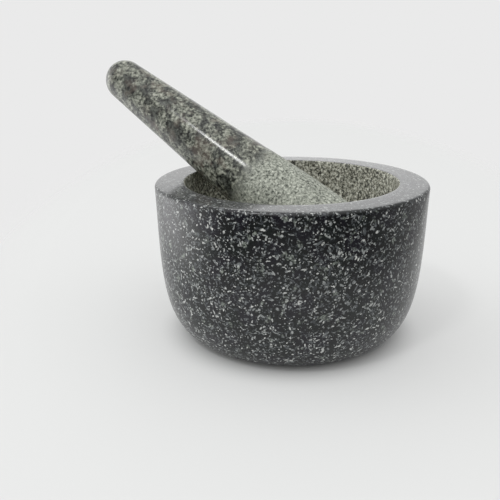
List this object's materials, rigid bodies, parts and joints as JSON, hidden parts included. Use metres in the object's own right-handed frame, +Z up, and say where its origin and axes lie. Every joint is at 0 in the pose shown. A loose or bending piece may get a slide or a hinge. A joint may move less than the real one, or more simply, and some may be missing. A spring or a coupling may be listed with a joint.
{
  "type": "mortar and pestle",
  "caption": "Turned granite mortar, a thick round bowl with a flat polished rim and a rough ground hollow, with a tapered granite pestle leaning in it for crushing and grinding.",
  "frame": {"origin": "on the bowl's axis, on the flat face that the bowl stands on", "axes": "+Z is up, along the bowl's axis, out of its mouth. The handle of the pestle points towards -X, turned 24 degrees towards +Y, and the head of the pestle lies towards +X"},
  "size_m": [0.1879, 0.15, 0.1498],
  "materials": {
    "dark_granite": "polished outside and on the rim, rough ground in the hollow",
    "grey_granite": "polished handle, rough ground head"
  },
  "bodies": {
    "bowl_body": {"bowl": "dark_granite"},
    "pestle_body": {"pestle": "grey_granite"}
  },
  "joints": [
    {"name": "pestle_lift", "type": "slide", "parent": "bowl_body", "child": "pestle_body", "axis": [0, 0, 1], "range_m": [0, 0.08]}
  ]
}
